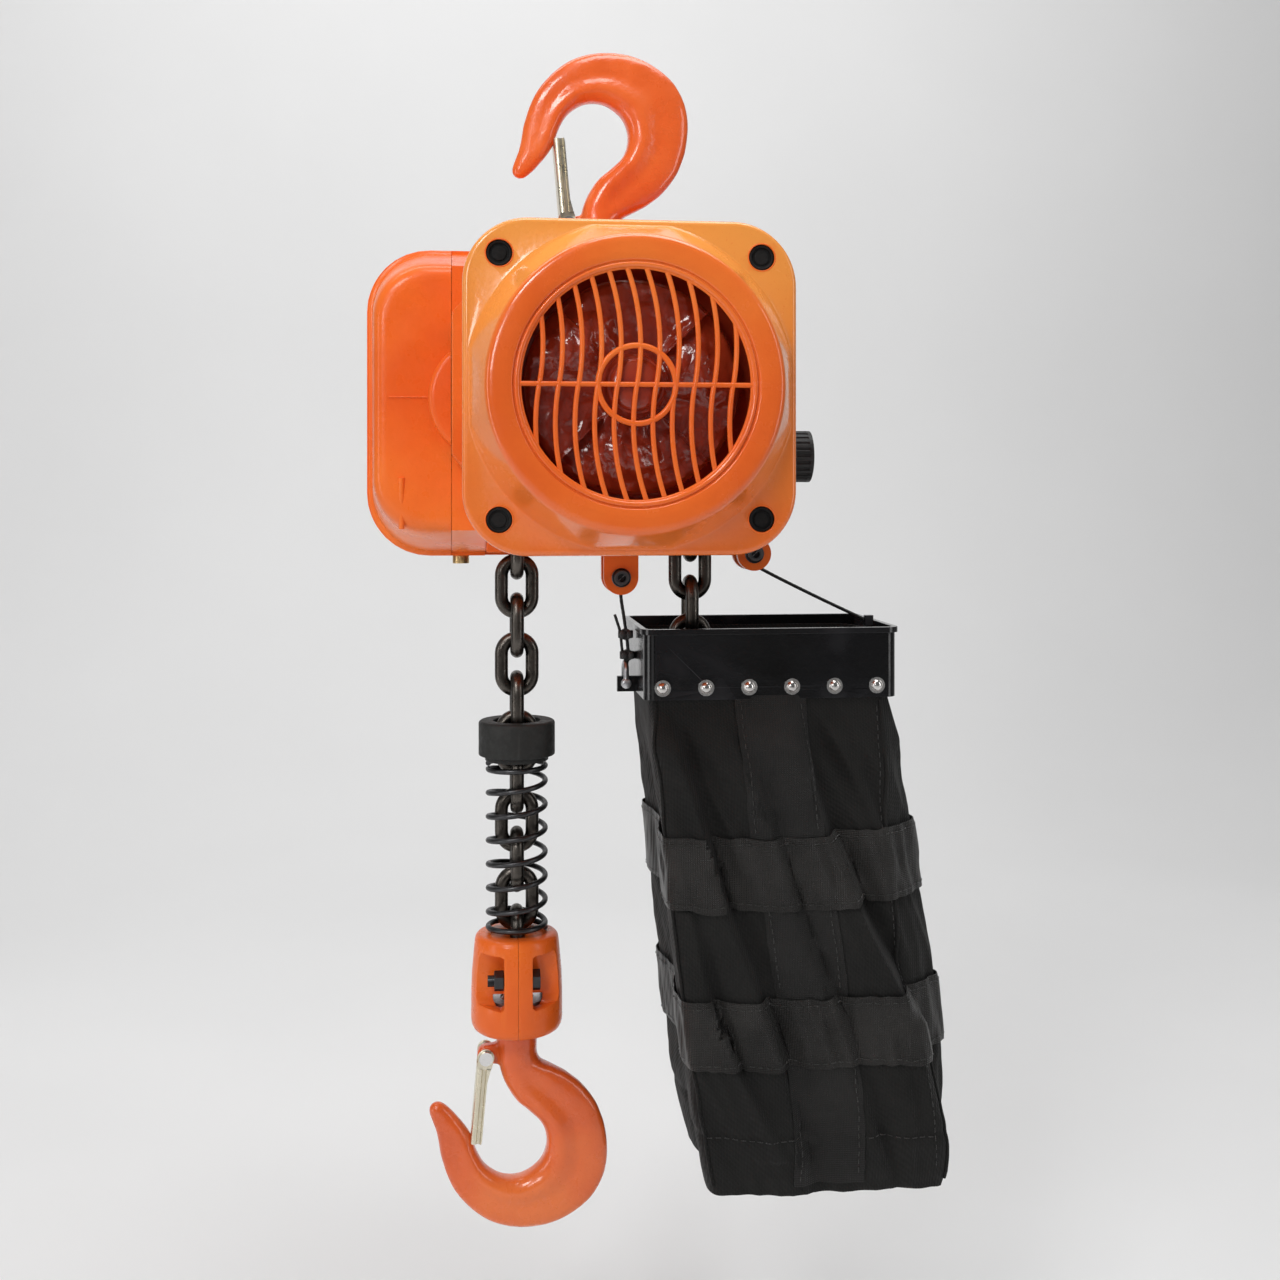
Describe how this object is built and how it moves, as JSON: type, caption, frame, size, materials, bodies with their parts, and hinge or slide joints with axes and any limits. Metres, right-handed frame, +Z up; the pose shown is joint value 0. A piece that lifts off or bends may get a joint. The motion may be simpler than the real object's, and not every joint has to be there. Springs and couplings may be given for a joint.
{
  "type": "electric chain hoist",
  "caption": "Electric chain hoist with top hook, square fan cover, load chain with buffer spring and split hook block, bottom hook, and a hanging cloth chain bag.",
  "frame": {"origin": "the load seat of the top hook, on the swivel axis of the top hook", "axes": "+Z up along the top hook's swivel axis, -Y towards the fan cover, +X towards the chain bag"},
  "size_m": [0.3153, 0.238, 0.6369],
  "materials": {
    "orange_paint": "satin powder coat",
    "red_paint": "gloss paint",
    "hook_paint": "gloss dip paint over a forged face",
    "black_steel": "gloss black",
    "black_plastic": "matt",
    "grey_plastic": "satin",
    "steel": "machined",
    "zinc": "bright zinc plated",
    "chain_steel": "hardened, dark, lightly oiled",
    "spring_steel": "black oxide",
    "yellow_zinc": "yellow zinc plated",
    "copper": "enamelled wire",
    "bronze": "turned",
    "bag_cloth": "coated woven cloth",
    "rubber": "sheet",
    "cable": "black coated steel wire"
  },
  "bodies": {
    "hoist_body": {"main_frame": "orange_paint", "motor_housing": "orange_paint", "motor_end_shield": "red_paint", "fan_cover": "orange_paint", "screw_plugs": "black_plastic", "electrical_cover": "orange_paint", "cover_screws": "steel", "contactor": "grey_plastic", "terminal_block": "grey_plastic", "transformer": "steel", "gearbox_cover": "orange_paint", "gearbox_gasket": "rubber", "stator_core": "steel", "stator_winding": "copper", "brake_coil": "black_steel", "shaft_bearings": "steel", "wheel_bearings": "steel", "layshaft_bearings": "steel", "chain_guide": "orange_paint", "limit_switch": "black_plastic", "side_plug": "black_plastic", "cable_glands": "black_plastic", "lug_bolts": "black_steel", "drain_screw": "bronze", "hook_bush": "bronze"},
    "motor_rotor": {"motor_shaft": "steel", "rotor_core": "steel", "cooling_fan": "red_paint", "brake_disc": "steel"},
    "layshaft_set": {"layshaft": "steel", "first_gear": "steel"},
    "wheel_set": {"chain_wheel": "steel", "output_gear": "steel", "wrapped_chain": "chain_steel"},
    "load_line": {"load_chain": "chain_steel", "block_left": "orange_paint", "block_right": "orange_paint", "block_bolts": "zinc", "block_nuts": "zinc", "chain_end_pin": "steel", "thrust_bearing": "steel", "buffer_spring": "spring_steel"},
    "collar": {"limit_collar": "black_plastic"},
    "lower_hook": {"bottom_hook": "hook_paint", "bottom_hook_nut": "steel", "bottom_latch_pin": "zinc"},
    "lower_latch": {"bottom_latch": "yellow_zinc"},
    "upper_hook": {"top_hook": "hook_paint", "top_hook_nut": "steel", "top_latch_pin": "zinc"},
    "upper_latch": {"top_latch": "yellow_zinc"},
    "slack_run": {"slack_chain": "chain_steel"},
    "chain_bag": {"bag_rim": "black_steel", "bag_rivets": "zinc", "bag_fabric": "bag_cloth", "bag_wires": "cable", "wire_fittings": "zinc", "chain_pile": "chain_steel"}
  },
  "joints": [
    {"name": "motor_spin", "type": "hinge", "parent": "hoist_body", "child": "motor_rotor", "pos_m": [0.003, -0.07, -0.162], "axis": [0, 1, 0], "range_deg": [-1610, 3215]},
    {"name": "layshaft_spin", "type": "hinge", "parent": "hoist_body", "child": "layshaft_set", "pos_m": [-0.03511, 0.05, -0.14], "axis": [0, 1, 0], "range_deg": [-460, 230]},
    {"name": "chain_wheel_spin", "type": "hinge", "parent": "hoist_body", "child": "wheel_set", "pos_m": [0.003, 0, -0.162], "axis": [0, 1, 0], "range_deg": [-51, 102]},
    {"name": "lift", "type": "slide", "parent": "hoist_body", "child": "load_line", "axis": [0, 0, 1], "range_m": [-0.0416, 0.0832], "deforming": ["load_chain"]},
    {"name": "slack_feed", "type": "slide", "parent": "hoist_body", "child": "slack_run", "axis": [0, 0, 1], "range_m": [-0.0832, 0.0416], "deforming": ["slack_chain"]},
    {"name": "buffer_travel", "type": "slide", "parent": "load_line", "child": "collar", "axis": [0, 0, 1], "range_m": [-0.055, 0], "stiffness_N_per_m": 180, "springref_m": 0.02, "deforming": ["buffer_spring"]},
    {"name": "bottom_hook_swivel", "type": "hinge", "parent": "load_line", "child": "lower_hook", "pos_m": [-0.0442, 0, -0.522], "axis": [0, 0, 1], "continuous": true},
    {"name": "bottom_latch_pivot", "type": "hinge", "parent": "lower_hook", "child": "lower_latch", "pos_m": [-0.0609, 0, -0.512], "axis": [0, -1, 0], "range_deg": [0, 26], "stiffness_Nm_per_rad": 0.05, "springref_deg": -34.38},
    {"name": "top_hook_swivel", "type": "hinge", "parent": "hoist_body", "child": "upper_hook", "pos_m": [0, 0, -0.07], "axis": [0, 0, 1], "continuous": true},
    {"name": "top_latch_pivot", "type": "hinge", "parent": "upper_hook", "child": "upper_latch", "pos_m": [-0.0167, 0, -0.0663], "axis": [0, 1, 0], "range_deg": [0, 26], "stiffness_Nm_per_rad": 0.05, "springref_deg": -34.38},
    {"name": "bag_swing", "type": "hinge", "parent": "hoist_body", "child": "chain_bag", "pos_m": [0.013, 0.014, -0.2572], "axis": [0.9856, 0, 0.1691], "range_deg": [-6, 6]}
  ],
  "couplings": [
    {"joint": "motor_spin", "follows": "lift", "rad_per_m": 673.2},
    {"joint": "layshaft_spin", "follows": "lift", "rad_per_m": -96.171},
    {"joint": "chain_wheel_spin", "follows": "lift", "rad_per_m": 21.371},
    {"joint": "slack_feed", "follows": "lift", "ratio": -1}
  ]
}
